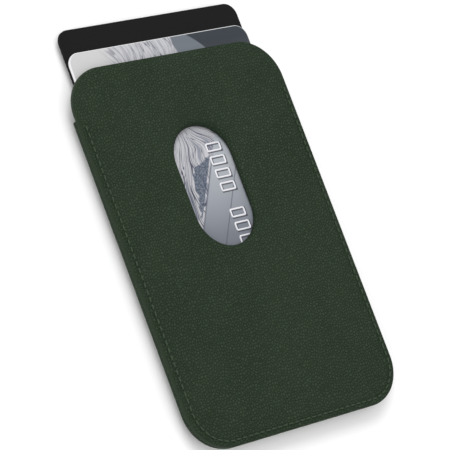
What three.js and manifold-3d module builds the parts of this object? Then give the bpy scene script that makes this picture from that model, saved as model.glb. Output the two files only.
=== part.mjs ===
// Magnetic phone card wallet: a slotted leather panel and a moulded leather cover,
// sewn together on three sides round a pocket that holds two cards.
// Millimetres. +X is the width, +Y points out of the pocket's mouth, +Z out of the slotted panel.
// The origin is the centre of the cover's flat outer face.
import * as THREE from "three";
import { mergeVertices } from "three/addons/utils/BufferGeometryUtils.js";
import Module from "manifold-3d";

const wasm = await Module();
wasm.setup();

// ---------- Driving dimensions ----------

const BODY_WIDTH = 62.8;
const BODY_LENGTH = 93.3;
const MOUTH_CORNER_RADIUS = 10.4;
const FOOT_CORNER_RADIUS = 10.1;

// Layers of the cover, from the outer face upwards.
const COVER_LEATHER = 0.6;
const COVER_BOARD = 0.3;
const COVER_LINING = 0.15;
const COVER_SHOULDER_RADIUS = 3.1; // the side wall is a quarter round up to the seam
const COVER_MOUTH_SETBACK = 11.5; // the cover ends this far short of the panel's mouth edge

// Layers of the slotted panel, from the seam upwards.
const PANEL_LINING = 0.2;
const SHIELD_PLATE = 0.15;
const MAGNET_THICKNESS = 0.5;
const PANEL_LEATHER = 0.6;
const PANEL_EDGE_ROUND = 0.25;
const LIP_FLANGE = 0.3; // flat rim of the turned-down lip, inside the sheet it joins
const EDGE_PAINT = 0.25;

// Thumb slot, a stadium that runs along Y.
const SLOT_HALF_WIDTH = 8.5;
const SLOT_HALF_LENGTH = 15.0;
const SLOT_BELOW_MOUTH = 33.1; // from the panel's mouth edge to the slot's centre

// Magnets, on the slot's centre.
const RING_OUTER_RADIUS = 27.5;
const RING_INNER_RADIUS = 23.0;
const RING_MAGNETS = 16;
const RING_MAGNET_GAP = 1.2;
const BAR_MAGNET = { width: 6, length: 9, gap: 0.4, belowSlot: 40.5 };
const SHIELD_MARGIN = 0.8;
const CARRIER_CLEARANCE = 0.15;

// Seam.
const SEAM_INSET = 1.3;
const SEAM_TOP_SETBACK = 13.1; // the seam starts this far below the panel's mouth edge
const THREAD = 0.42;
const GROOVE_WIDTH = 0.6;
const GROOVE_DEPTH = 0.45;

// Pocket.
const POCKET_HALF_WIDTH = 27.35;
const POCKET_FOOT_MARGIN = 4.0; // from the outline's foot to the pocket's foot
const POCKET_CORNER_RADIUS = 3.0;
const GLUE_GAP = 0.05;
const GLUE_FILM = 0.02; // under every bonded layer

// Cards, ISO/IEC 7810 ID-1.
const CARD = { width: 53.98, length: 85.6, thickness: 0.76, radius: 3.18 };
const BLACK_CARD_FLOOR_GAP = 0.11;
const CARD_GAP = 0.1;
const GRAY_CARD_PROUD = 4.7; // beyond the panel's mouth edge
const BLACK_CARD_PROUD = 10.8;
const CHIP = { width: 11.8, length: 13.0, radius: 1.6, fromFoot: 15.1, x: -3.1, depth: 0.1 };
const STRIPE = { width: 10.3, fromSide: 5.5, depth: 0.1 };
const INLAY_GAP = 0.05;

// Facets.
const CORNER_STEPS = 8;
const EDGE_STEPS = 2;
const SLOT_END_STEPS = 14;
const SHOULDER_STEPS = 5;
const LIP_STEPS = 5;
const RING_STEPS = 96;

const OVERCUT = 1; // how far a cutter reaches past the faces it cuts

// ---------- Levels and places worked out from them ----------

const mouthY = BODY_LENGTH / 2;
const footY = -BODY_LENGTH / 2;
const coverMouthY = mouthY - COVER_MOUTH_SETBACK;
const seamTopY = mouthY - SEAM_TOP_SETBACK;
const slotY = mouthY - SLOT_BELOW_MOUTH;
const pocketFootY = footY + POCKET_FOOT_MARGIN;

const coverBoardZ = COVER_LEATHER;
const coverLiningZ = coverBoardZ + COVER_BOARD;
const pocketFloorZ = coverLiningZ + COVER_LINING;
const seamZ = COVER_SHOULDER_RADIUS;
const shieldZ = seamZ + PANEL_LINING;
const magnetZ = shieldZ + SHIELD_PLATE;
const panelLeatherZ = magnetZ + MAGNET_THICKNESS;
const topZ = panelLeatherZ + PANEL_LEATHER;
const lipRadius = topZ - seamZ; // the leather turns down a full panel thickness into the slot

const blackCardZ = pocketFloorZ + BLACK_CARD_FLOOR_GAP;
const grayCardZ = blackCardZ + CARD.thickness + CARD_GAP;

// ---------- Solids ----------

// A manifold-3d solid from shared vertices and triangles.
function solid(vertices, triangles) {
  return new wasm.Manifold(
    new wasm.Mesh({
      numProp: 3,
      vertProperties: new Float32Array(vertices),
      triVerts: new Uint32Array(triangles),
    }),
  );
}

// The solid of a closed three.js geometry.
function solidOf(geometry) {
  const bare = new THREE.BufferGeometry();
  bare.setAttribute("position", geometry.getAttribute("position"));
  if (geometry.index) bare.setIndex(geometry.index);
  const merged = mergeVertices(bare, 1e-4);
  return solid(merged.getAttribute("position").array, merged.index.array);
}

// A flat shape in XY, raised from z0 to z1.
function slab(shape, z0, z1) {
  const depth = z1 - z0;
  const geometry = new THREE.ExtrudeGeometry(shape, { depth, bevelEnabled: false, steps: 1 });
  return solidOf(geometry.translate(0, 0, z0));
}

// A bonded layer: a flat shape that lies on a film of glue at z0.
function layer(shape, z0, z1) {
  return slab(shape, z0 + GLUE_FILM, z1);
}

// Two triangles for each quad between loop a and loop b, which hold count vertices each.
function band(a, b, count) {
  const triangles = [];
  for (let i = 0; i < count; i++) {
    const j = (i + 1) % count;
    triangles.push(a + i, a + j, b + j, a + i, b + j, b + i);
  }
  return triangles;
}

// A solid stacked from convex loops: profile is a list of [inset, z] from the lowest up.
function stack(loopAt, profile) {
  const vertices = [];
  const triangles = [];
  const count = loopAt(0).length;
  for (const [inset, z] of profile) {
    for (const p of loopAt(inset)) vertices.push(p.x, p.y, z);
  }
  for (let level = 0; level + 1 < profile.length; level++) {
    triangles.push(...band(level * count, (level + 1) * count, count));
  }
  const last = (profile.length - 1) * count;
  for (let i = 1; i + 1 < count; i++) {
    triangles.push(0, i + 1, i);
    triangles.push(last, last + i, last + i + 1);
  }
  return solid(vertices, triangles);
}

// A closed ring swept round loops: profile is a closed list of [offset, z], and it runs clockwise
// in a section drawn with the loop's outward side to the right.
function ring(loopAt, profile) {
  const vertices = [];
  const triangles = [];
  const count = loopAt(0).length;
  for (const [offset, z] of profile) {
    for (const p of loopAt(offset)) vertices.push(p.x, p.y, z);
  }
  for (let k = 0; k < profile.length; k++) {
    const next = (k + 1) % profile.length;
    triangles.push(...band(next * count, k * count, count));
  }
  return solid(vertices, triangles);
}

// Points on an arc, from angle a to angle b in quarter turns.
function arc(x, y, radius, a, b, steps) {
  const points = [];
  for (let i = 0; i <= steps; i++) {
    const angle = ((a + ((b - a) * i) / steps) * Math.PI) / 2;
    points.push(new THREE.Vector2(x + radius * Math.cos(angle), y + radius * Math.sin(angle)));
  }
  return points;
}

// ---------- Outlines ----------

// The holder's outline, moved inwards by inset.
function outline(inset) {
  const side = BODY_WIDTH / 2 - MOUTH_CORNER_RADIUS;
  const footSide = BODY_WIDTH / 2 - FOOT_CORNER_RADIUS;
  const high = mouthY - MOUTH_CORNER_RADIUS;
  const low = footY + FOOT_CORNER_RADIUS;
  const mouthRadius = MOUTH_CORNER_RADIUS - inset;
  const footRadius = FOOT_CORNER_RADIUS - inset;
  return [
    ...arc(side, high, mouthRadius, 0, 1, CORNER_STEPS),
    ...arc(-side, high, mouthRadius, 1, 2, CORNER_STEPS),
    ...arc(-footSide, low, footRadius, 2, 3, CORNER_STEPS),
    ...arc(footSide, low, footRadius, 3, 4, CORNER_STEPS),
  ];
}

// The thumb slot's outline, moved outwards by offset.
function slotOutline(offset) {
  const radius = SLOT_HALF_WIDTH + offset;
  const straight = SLOT_HALF_LENGTH - SLOT_HALF_WIDTH;
  return [
    ...arc(0, slotY + straight, radius, 0, 2, SLOT_END_STEPS),
    ...arc(0, slotY - straight, radius, 2, 4, SLOT_END_STEPS),
  ];
}

// The line the seam follows, at inset from the outline: down the left, round the foot, up the right.
function seamLine(inset) {
  const side = BODY_WIDTH / 2 - FOOT_CORNER_RADIUS;
  const low = footY + FOOT_CORNER_RADIUS;
  const radius = FOOT_CORNER_RADIUS - inset;
  return [
    new THREE.Vector2(-side - radius, seamTopY),
    ...arc(-side, low, radius, 2, 3, CORNER_STEPS),
    ...arc(side, low, radius, 3, 4, CORNER_STEPS),
    new THREE.Vector2(side + radius, seamTopY),
  ];
}

// The seam line as a strip of the given width.
function seamStrip(width) {
  const outer = seamLine(SEAM_INSET - width / 2);
  const inner = seamLine(SEAM_INSET + width / 2).reverse();
  return new THREE.Shape([...outer, ...inner]);
}

// The pocket's floor plan, moved inwards by inset, open-ended towards the mouth at endY.
function pocketPlan(inset, endY) {
  const half = POCKET_HALF_WIDTH - inset;
  const radius = POCKET_CORNER_RADIUS - inset;
  const side = half - radius;
  const low = pocketFootY + POCKET_CORNER_RADIUS;
  return new THREE.Shape([
    new THREE.Vector2(-half, endY),
    ...arc(-side, low, radius, 2, 3, CORNER_STEPS),
    ...arc(side, low, radius, 3, 4, CORNER_STEPS),
    new THREE.Vector2(half, endY),
  ]);
}

function roundedRectangle(x, y, width, length, radius) {
  const right = x + width / 2 - radius;
  const left = x - width / 2 + radius;
  const high = y + length / 2 - radius;
  const low = y - length / 2 + radius;
  return new THREE.Shape([
    ...arc(right, high, radius, 0, 1, CORNER_STEPS),
    ...arc(left, high, radius, 1, 2, CORNER_STEPS),
    ...arc(left, low, radius, 2, 3, CORNER_STEPS),
    ...arc(right, low, radius, 3, 4, CORNER_STEPS),
  ]);
}

function rectangle(x0, y0, x1, y1) {
  return new THREE.Shape([
    new THREE.Vector2(x0, y0),
    new THREE.Vector2(x1, y0),
    new THREE.Vector2(x1, y1),
    new THREE.Vector2(x0, y1),
  ]);
}

// One bay of the magnet ring, grown by clearance on every side.
function ringBay(index, clearance) {
  const pitch = (2 * Math.PI) / RING_MAGNETS;
  const steps = RING_STEPS / RING_MAGNETS;
  const middle = (index + 0.5) * pitch;
  const points = [];
  for (const [radius, way] of [[RING_OUTER_RADIUS + clearance, 1], [RING_INNER_RADIUS - clearance, -1]]) {
    const half = pitch / 2 - (RING_MAGNET_GAP / 2 - clearance) / radius;
    for (let i = 0; i <= steps; i++) {
      const angle = middle + way * half * ((2 * i) / steps - 1);
      points.push(new THREE.Vector2(radius * Math.cos(angle), slotY + radius * Math.sin(angle)));
    }
  }
  return new THREE.Shape(points);
}

// The bay of one alignment magnet: place is 1 for the upper, -1 for the lower.
function barBay(place, clearance) {
  const { width, length, gap, belowSlot } = BAR_MAGNET;
  const y = slotY - belowSlot + (place * (length + gap)) / 2;
  const half = width / 2 + clearance;
  return rectangle(-half, y - length / 2 - clearance, half, y + length / 2 + clearance);
}

// ---------- Sub-parts of the slotted panel ----------

// Everything outside the cover's mouth edge, to cut the cover and the rim core square.
function mouthCutter() {
  const far = BODY_WIDTH;
  return slab(rectangle(-far, coverMouthY, far, coverMouthY + far), -OVERCUT, topZ + OVERCUT);
}

function panelLeather() {
  const profile = [[0, panelLeatherZ + GLUE_FILM]];
  for (let i = 0; i <= EDGE_STEPS; i++) {
    const angle = (i / EDGE_STEPS) * (Math.PI / 2);
    const inset = PANEL_EDGE_ROUND * (1 - Math.cos(angle));
    profile.push([inset, topZ - PANEL_EDGE_ROUND * (1 - Math.sin(angle))]);
  }
  const sheet = stack(outline, profile);
  const opening = slab(new THREE.Shape(slotOutline(lipRadius)), seamZ, topZ + OVERCUT);
  const groove = slab(seamStrip(GROOVE_WIDTH), topZ - GROOVE_DEPTH, topZ + OVERCUT);
  return sheet.subtract(opening).add(slotLip()).subtract(groove);
}

// The leather turned down round the slot: a quarter round that ends level with the seam.
function slotLip() {
  const inner = lipRadius - PANEL_LEATHER;
  const outer = lipRadius + LIP_FLANGE;
  const profile = [];
  for (let i = 0; i <= LIP_STEPS; i++) {
    const angle = (i / LIP_STEPS) * (Math.PI / 2);
    profile.push([lipRadius * (1 - Math.cos(angle)), seamZ + lipRadius * Math.sin(angle)]);
  }
  const underside = panelLeatherZ + GLUE_FILM;
  profile.push([outer, topZ], [outer, underside], [lipRadius, underside]);
  for (let i = LIP_STEPS; i >= 0; i--) {
    const angle = (i / LIP_STEPS) * (Math.PI / 2);
    profile.push([lipRadius - inner * Math.cos(angle), seamZ + inner * Math.sin(angle)]);
  }
  return ring(slotOutline, profile);
}

// The painted edge of the board and lining, under the leather's overhang.
function panelEdgePaint() {
  const low = seamZ + GLUE_FILM;
  const profile = [
    [0, low],
    [EDGE_PAINT, low],
    [EDGE_PAINT, panelLeatherZ],
    [0, panelLeatherZ],
  ];
  return ring(outline, profile);
}

// A layer of the panel inside its painted edge, with its own hole round the slot.
function panelLayer(z0, z1, slotOffset) {
  const shape = new THREE.Shape(outline(EDGE_PAINT + GLUE_FILM));
  shape.holes.push(new THREE.Path(slotOutline(slotOffset).reverse()));
  return layer(shape, z0, z1);
}

// The steel plate's plan: a ring behind the magnets with a tongue down to the bar magnets.
function shieldSolid(z0, z1, clearance) {
  const outer = RING_OUTER_RADIUS + SHIELD_MARGIN + clearance;
  const inner = RING_INNER_RADIUS - SHIELD_MARGIN - clearance;
  const circle = new THREE.Shape(arc(0, slotY, outer, 0, 4, RING_STEPS).slice(0, -1));
  const hole = new THREE.Shape(arc(0, slotY, inner, 0, 4, RING_STEPS).slice(0, -1));
  const half = BAR_MAGNET.width / 2 + SHIELD_MARGIN + clearance;
  const reach = BAR_MAGNET.length + BAR_MAGNET.gap / 2 + SHIELD_MARGIN + clearance;
  const endY = slotY - BAR_MAGNET.belowSlot - reach;
  const tongue = rectangle(-half, endY, half, slotY - RING_INNER_RADIUS - SHIELD_MARGIN * 2);
  const plate = slab(circle, z0, z1).add(slab(tongue, z0, z1));
  return plate.subtract(slab(hole, z0 - OVERCUT, z1 + OVERCUT));
}

// The board that carries the magnets in windows and the shield plate in a recess below them.
function carrierBoard() {
  let board = panelLayer(shieldZ, panelLeatherZ, lipRadius + GLUE_GAP);
  board = board.subtract(shieldSolid(shieldZ - OVERCUT, magnetZ, CARRIER_CLEARANCE));
  for (let i = 0; i < RING_MAGNETS; i++) {
    board = board.subtract(slab(ringBay(i, CARRIER_CLEARANCE), shieldZ, topZ));
  }
  for (const place of [1, -1]) {
    board = board.subtract(slab(barBay(place, CARRIER_CLEARANCE), shieldZ, topZ));
  }
  return board;
}

// ---------- Sub-parts of the cover ----------

// A quarter-round cup of the given radius about the seam's edge, from its floor up to the seam.
function cupProfile(radius) {
  const profile = [];
  for (let i = 0; i <= SHOULDER_STEPS; i++) {
    const angle = (1 - i / SHOULDER_STEPS) * (Math.PI / 2);
    const inset = COVER_SHOULDER_RADIUS - radius * Math.cos(angle);
    profile.push([inset, COVER_SHOULDER_RADIUS - radius * Math.sin(angle)]);
  }
  return profile;
}

// Height of the cover's outer surface where the seam comes out of its shoulder.
function shoulderZ(inset) {
  const across = COVER_SHOULDER_RADIUS - inset;
  return COVER_SHOULDER_RADIUS - Math.sqrt(COVER_SHOULDER_RADIUS ** 2 - across ** 2);
}

function coverLeather() {
  const inner = cupProfile(COVER_SHOULDER_RADIUS - COVER_LEATHER);
  const rim = inner[inner.length - 1];
  const hollow = stack(outline, [...inner, [rim[0], seamZ + OVERCUT]]);
  const grooveTop = shoulderZ(SEAM_INSET) + GROOVE_DEPTH / 2;
  const groove = slab(seamStrip(GROOVE_WIDTH), -OVERCUT, grooveTop);
  const shell = stack(outline, cupProfile(COVER_SHOULDER_RADIUS)).subtract(hollow);
  return shell.subtract(mouthCutter()).subtract(groove);
}

function rimCore() {
  const filling = stack(outline, cupProfile(COVER_SHOULDER_RADIUS - COVER_LEATHER - GLUE_GAP));
  const pocket = slab(pocketPlan(0, mouthY + OVERCUT), 0, topZ);
  return filling.subtract(mouthCutter()).subtract(pocket);
}

function pocketFloor(z0, z1) {
  return layer(pocketPlan(GLUE_GAP, coverMouthY), z0, z1);
}

// ---------- Seam threads ----------

function needleThread() {
  const top = topZ - (GROOVE_DEPTH - THREAD);
  return slab(seamStrip(THREAD), top - THREAD, top);
}

function bobbinThread() {
  const top = shoulderZ(SEAM_INSET) + GROOVE_DEPTH / 2;
  return slab(seamStrip(THREAD), top - THREAD, top);
}

// ---------- Cards ----------

function cardBlank(y, z) {
  const shape = roundedRectangle(0, y, CARD.width, CARD.length, CARD.radius);
  return slab(shape, z, z + CARD.thickness);
}

const grayCardY = mouthY + GRAY_CARD_PROUD - CARD.length / 2;
const blackCardY = mouthY + BLACK_CARD_PROUD - CARD.length / 2;

// The chip plate lies flush in the gray card's front, under the panel. Grown, it is the cutter of
// its own recess, and so is the stripe below.
function chipPlate(grow) {
  const y = grayCardY - CARD.length / 2 + CHIP.fromFoot;
  const { x, width, length, radius, depth } = CHIP;
  const shape = roundedRectangle(x, y, width + 2 * grow, length + 2 * grow, radius + grow);
  const top = grayCardZ + CARD.thickness;
  return slab(shape, top - depth, top + (grow > 0 ? OVERCUT : 0));
}

// The magnetic stripe lies flush in the gray card's back, over its whole length.
function magneticStripe(grow) {
  const left = -CARD.width / 2 + STRIPE.fromSide - grow;
  const right = left + STRIPE.width + 2 * grow;
  const half = CARD.length / 2 + grow;
  const shape = rectangle(left, grayCardY - half, right, grayCardY + half);
  const bottom = grayCardZ - (grow > 0 ? OVERCUT : 0);
  return slab(shape, bottom, grayCardZ + STRIPE.depth);
}

function grayCard() {
  const blank = cardBlank(grayCardY, grayCardZ);
  return blank.subtract(chipPlate(INLAY_GAP)).subtract(magneticStripe(INLAY_GAP));
}

// ---------- Materials ----------

function material(color, roughness, metalness = 0) {
  return () => new THREE.MeshStandardMaterial({ color, roughness, metalness });
}

const leather = material(0x2f3b2f, 0.62);
const edgePaint = material(0x1d251d, 0.5);
const thread = material(0x43523f, 0.75);
const fibreBoard = material(0x4a4238, 0.9);
const liningCloth = material(0x23281f, 0.95);
const magnetNickel = material(0xb4b4b2, 0.3, 1);
const steel = material(0x9a9c9e, 0.4, 1);
const grayPlastic = material(0xb9bcbf, 0.45);
const blackPlastic = material(0x232323, 0.5);
const chipGold = material(0xc9a961, 0.35, 1);
const stripeTape = material(0x1a1512, 0.4);

// ---------- Assembly ----------

// A named mesh of a solid, with its own material.
function mesh(name, body, makeMaterial) {
  const { vertProperties, triVerts } = body.getMesh();
  const geometry = new THREE.BufferGeometry();
  geometry.setAttribute("position", new THREE.BufferAttribute(vertProperties, 3));
  geometry.setIndex(new THREE.BufferAttribute(triVerts, 1));
  geometry.computeVertexNormals();
  const made = new THREE.Mesh(geometry, makeMaterial());
  made.name = name;
  return made;
}

function slottedPanel() {
  const group = new THREE.Group();
  group.add(mesh("panel_leather", panelLeather(), leather));
  group.add(mesh("panel_edge_paint", panelEdgePaint(), edgePaint));
  group.add(mesh("panel_lining", panelLayer(seamZ, shieldZ, lipRadius / 2), liningCloth));
  group.add(mesh("magnet_carrier_board", carrierBoard(), fibreBoard));
  group.add(mesh("shield_plate", shieldSolid(shieldZ + GLUE_FILM, magnetZ, 0), steel));
  for (let i = 0; i < RING_MAGNETS; i++) {
    const name = `ring_magnet_${String(i + 1).padStart(2, "0")}`;
    group.add(mesh(name, layer(ringBay(i, 0), magnetZ, panelLeatherZ), magnetNickel));
  }
  for (const [name, place] of [["upper", 1], ["lower", -1]]) {
    const bar = layer(barBay(place, 0), magnetZ, panelLeatherZ);
    group.add(mesh(`alignment_magnet_${name}`, bar, magnetNickel));
  }
  group.add(mesh("needle_thread", needleThread(), thread));
  return group;
}

function cover() {
  const group = new THREE.Group();
  group.add(mesh("cover_leather", coverLeather(), leather));
  group.add(mesh("rim_core", rimCore(), fibreBoard));
  group.add(mesh("cover_board", pocketFloor(coverBoardZ, coverLiningZ), fibreBoard));
  group.add(mesh("cover_lining", pocketFloor(coverLiningZ, pocketFloorZ), liningCloth));
  group.add(mesh("bobbin_thread", bobbinThread(), thread));
  return group;
}

function cards() {
  const group = new THREE.Group();
  group.add(mesh("gray_card_body", grayCard(), grayPlastic));
  group.add(mesh("gray_card_chip_plate", chipPlate(0), chipGold));
  group.add(mesh("gray_card_magnetic_stripe", magneticStripe(0), stripeTape));
  group.add(mesh("black_card_body", cardBlank(blackCardY, blackCardZ), blackPlastic));
  return group;
}

const holder = new THREE.Group();
holder.add(slottedPanel(), cover(), cards());

export default holder;
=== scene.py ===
"""Looks of the magnetic phone card wallet: leather skins, stitches, painted edge and two cards.

Lengths are metres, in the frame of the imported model: +X is the width, +Y points out of the pocket's
mouth and +Z out of the slotted panel. The wallet lies on its cover, at z = 0.
"""

import math

import bpy
import numpy as np
from mathutils import Matrix, Vector


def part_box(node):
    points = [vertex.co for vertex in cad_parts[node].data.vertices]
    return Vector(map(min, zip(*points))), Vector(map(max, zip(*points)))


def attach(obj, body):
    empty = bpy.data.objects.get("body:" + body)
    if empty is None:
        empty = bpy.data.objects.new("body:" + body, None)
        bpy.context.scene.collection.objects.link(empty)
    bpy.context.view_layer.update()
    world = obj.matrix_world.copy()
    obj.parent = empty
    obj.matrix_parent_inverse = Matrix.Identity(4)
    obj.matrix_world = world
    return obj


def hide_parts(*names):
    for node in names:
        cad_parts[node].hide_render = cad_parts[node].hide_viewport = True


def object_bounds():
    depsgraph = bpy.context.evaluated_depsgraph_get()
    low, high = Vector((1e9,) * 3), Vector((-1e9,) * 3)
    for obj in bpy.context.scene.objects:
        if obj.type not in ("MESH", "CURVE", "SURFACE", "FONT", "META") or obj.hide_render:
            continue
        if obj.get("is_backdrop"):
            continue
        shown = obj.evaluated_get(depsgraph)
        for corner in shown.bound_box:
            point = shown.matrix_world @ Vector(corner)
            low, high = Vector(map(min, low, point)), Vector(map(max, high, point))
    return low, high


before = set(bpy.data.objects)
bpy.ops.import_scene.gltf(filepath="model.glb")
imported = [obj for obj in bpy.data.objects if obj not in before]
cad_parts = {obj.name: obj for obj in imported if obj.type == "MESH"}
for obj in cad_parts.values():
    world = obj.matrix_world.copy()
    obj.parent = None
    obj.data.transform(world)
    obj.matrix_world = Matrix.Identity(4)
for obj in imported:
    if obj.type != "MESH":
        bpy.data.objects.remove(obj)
cad_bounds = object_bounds()

# ---------- Sizes ----------

MM = 0.001

panel_low, panel_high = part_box("panel_leather")
needle_low, needle_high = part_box("needle_thread")
cover_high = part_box("cover_leather")[1]

HALF_WIDTH = panel_high.x
HALF_LENGTH = panel_high.y
TOP_Z = panel_high.z
SEAM_Z = panel_low.z
PANEL_LEATHER_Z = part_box("magnet_carrier_board")[1].z
COVER_MOUTH_Y = cover_high.y
SHOULDER_RADIUS = cover_high.z
COVER_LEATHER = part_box("cover_board")[0].z
GRAY_CARD_TOP_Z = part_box("gray_card_body")[1].z

MOUTH_CORNER_RADIUS = 10.4 * MM
FOOT_CORNER_RADIUS = 10.1 * MM
PANEL_EDGE_ROUND = 0.25 * MM

SLOT_Y = HALF_LENGTH - 33.1 * MM  # the slot's centre
SLOT_HALF_WIDTH = 8.5 * MM
SLOT_STRAIGHT = 6.5 * MM  # half of the slot's straight sides
LIP_RADIUS = TOP_Z - SEAM_Z  # the leather turns down a full panel thickness into the slot

THREAD_RADIUS = (needle_high.z - needle_low.z) / 2
SEAM_INSET = HALF_WIDTH - needle_high.x + THREAD_RADIUS
SEAM_TOP_Y = needle_high.y
STITCH_PITCH = 1.75 * MM
STITCH_GAP = 0.42 * MM

CARD_RADIUS = 3.18 * MM
CARD_BEVEL = 0.2 * MM
INLAY_PROUD = 0.012 * MM  # chip and stripe stand this far out of the printed sheet

# Embossed frames on the gray card, in groups along Y with one place left empty between them.
FRAME_SIZE = (4.5 * MM, 2.3 * MM)
FRAME_STROKE = 0.48 * MM
FRAME_CORNER = 0.3 * MM
FRAME_HEIGHT = 0.18 * MM
FRAME_X = 4.4 * MM
FRAME_PITCH = 3.33 * MM
FIRST_FRAME_Y = SLOT_Y + 9.25 * MM
FRAME_GROUPS = 2
FRAMES_IN_GROUP = 4

# ---------- Paths in the XY plane ----------


class Path:
    """Straight lines and arcs in order, anticlockwise, measured by arc length."""

    def __init__(self):
        self.pieces = []
        self.length = 0.0

    def line(self, start, end):
        size = math.dist(start, end)
        self.pieces.append(("line", self.length, size, start, end))
        self.length += size
        return self

    def arc(self, centre, radius, start, end):
        """start and end are directions from the centre, in quarter turns from +X."""
        a, b = start * math.pi / 2, end * math.pi / 2
        size = radius * abs(b - a)
        self.pieces.append(("arc", self.length, size, centre, (radius, a, b)))
        self.length += size
        return self

    def at(self, distance):
        """The point at that distance along the path, and its outward normal."""
        for kind, begin, size, first, second in self.pieces:
            if distance <= begin + size:
                break
        share = min(max((distance - begin) / size, 0.0), 1.0)
        if kind == "line":
            point = [p + (q - p) * share for p, q in zip(first, second)]
            dx, dy = (second[0] - first[0]) / size, (second[1] - first[1]) / size
            return point, [dy, -dx]
        radius, a, b = second
        angle = a + (b - a) * share
        normal = [math.cos(angle), math.sin(angle)]
        return [first[0] + radius * normal[0], first[1] + radius * normal[1]], normal

    def samples(self, distances):
        found = [self.at(d) for d in distances]
        return np.array([p for p, _ in found]), np.array([n for _, n in found])

    def evenly(self, spacing, closed):
        """Distances along the path, close to that spacing apart."""
        count = max(2, round(self.length / spacing))
        return np.linspace(0, self.length, count + (not closed), endpoint=not closed)


def rounded_rectangle(x0, y0, x1, y1, low_radius, high_radius):
    r, q = low_radius, high_radius
    path = Path()
    path.line((x1, y0 + r), (x1, y1 - q)).arc((x1 - q, y1 - q), q, 0, 1)
    path.line((x1 - q, y1), (x0 + q, y1)).arc((x0 + q, y1 - q), q, 1, 2)
    path.line((x0, y1 - q), (x0, y0 + r)).arc((x0 + r, y0 + r), r, 2, 3)
    path.line((x0 + r, y0), (x1 - r, y0)).arc((x1 - r, y0 + r), r, 3, 4)
    return path


def outline_path():
    """The holder's outline, all the way round."""
    x, y = HALF_WIDTH, HALF_LENGTH
    return rounded_rectangle(-x, -y, x, y, FOOT_CORNER_RADIUS, MOUTH_CORNER_RADIUS)


def three_sides(inset, end_y):
    """Down the left side, round the foot and up the right, at inset from the outline."""
    x, y, r = HALF_WIDTH - inset, HALF_LENGTH - inset, FOOT_CORNER_RADIUS - inset
    path = Path()
    path.line((-x, end_y), (-x, r - y)).arc((r - x, r - y), r, 2, 3)
    path.line((r - x, -y), (x - r, -y)).arc((x - r, r - y), r, 3, 4)
    path.line((x, r - y), (x, end_y))
    return path


seam_path = three_sides(SEAM_INSET, SEAM_TOP_Y)
stitch_count = int(seam_path.length / STITCH_PITCH)
stitch_pitch = seam_path.length / stitch_count


def slot_ray(direction):
    """Where a ray from the slot's centre meets the slot's outline, and the normal there."""
    dx, dy = direction
    if abs(dx) > 1e-9 and abs(SLOT_HALF_WIDTH * dy / dx) <= SLOT_STRAIGHT:
        side = math.copysign(1, dx)
        return [side * SLOT_HALF_WIDTH, SLOT_HALF_WIDTH * dy / abs(dx)], [side, 0.0]
    centre = math.copysign(SLOT_STRAIGHT, dy)
    along = dy * centre
    reach = along + math.sqrt(along**2 - centre**2 + SLOT_HALF_WIDTH**2)
    x, y = reach * dx, reach * dy
    return [x, y], [x / SLOT_HALF_WIDTH, (y - centre) / SLOT_HALF_WIDTH]


# ---------- Meshes ----------


def lift(xy, z):
    """XY points with a height, or heights, as an array of 3-D points."""
    xy = np.asarray(xy, float)
    return np.column_stack([xy, np.broadcast_to(z, len(xy))])


def grid_faces(rows, columns, close_rows=False, close_columns=False, first=0):
    """Quads of a grid whose point (row, column) has index first + row * columns + column."""
    i = np.arange(rows if close_rows else rows - 1)[:, None]
    j = np.arange(columns if close_columns else columns - 1)[None, :]
    i1, j1 = (i + 1) % rows, (j + 1) % columns
    corners = [i * columns + j, i * columns + j1, i1 * columns + j1, i1 * columns + j]
    return (np.stack(corners, -1).reshape(-1, 4) + first).tolist()


def make_object(name, points, faces, material, painted_shade_and_card_core=None, unrolled=None):
    """A smooth-shaded mesh object.

    The fifth argument gives one number a point: on the leather, 0 plain to 1 darkest painted shade,
    which is also glossier; on a card, the share of its white core at the edge. The last gives each
    point's place on the skin laid out flat, for a grain that keeps its size round the edges."""
    mesh = bpy.data.meshes.new(name)
    mesh.from_pydata(np.asarray(points).tolist(), [], faces)
    if painted_shade_and_card_core is not None:
        mesh.attributes.new("painted_shade_and_card_core", "FLOAT", "POINT").data.foreach_set("value", painted_shade_and_card_core)
    if unrolled is not None:
        flat = lift(unrolled, 0.0).astype(np.float32).ravel()
        mesh.attributes.new("unrolled", "FLOAT_VECTOR", "POINT").data.foreach_set("vector", flat)
    mesh.shade_smooth()
    mesh.validate()
    mesh.materials.append(material)
    made = bpy.data.objects.new(name, mesh)
    bpy.context.scene.collection.objects.link(made)
    return made


def smoothstep(low, high, value):
    t = np.clip((value - low) / (high - low), 0, 1)
    return t * t * (3 - 2 * t)


def quarter(steps):
    """Angles from 0 to a quarter turn."""
    return np.linspace(0, math.pi / 2, steps)


# ---------- The seam's marks in the leather ----------

GROOVE_DEPTH = 0.06 * MM
COVER_GROOVE_DEPTH = 0.26 * MM  # deeper on the moulded shoulder, so that its outline stays smooth
GROOVE_REACH = 0.5 * MM
EDGE_DROOP = 0.08 * MM  # the face turns down this far at its edge
EDGE_DROOP_REACH = 2.2 * MM
HOLE_DEPTH = 0.09 * MM
HOLE_REACH = 0.26 * MM
SEAM_PAINTED_SHADE = 0.4  # painted shade, also glossier, in the deepest of the seam's marks
SEAM_PROBE_STEP = 0.05 * MM

seam_probe = seam_path.evenly(SEAM_PROBE_STEP, closed=False)
seam_probe_points = seam_path.samples(seam_probe)[0]


def along_seam(points):
    """Distance along the seam of the seam's nearest place to each point."""
    found = []
    for p in points:
        found.append(seam_probe[((seam_probe_points - p) ** 2).sum(1).argmin()])
    return np.array(found)


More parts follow.
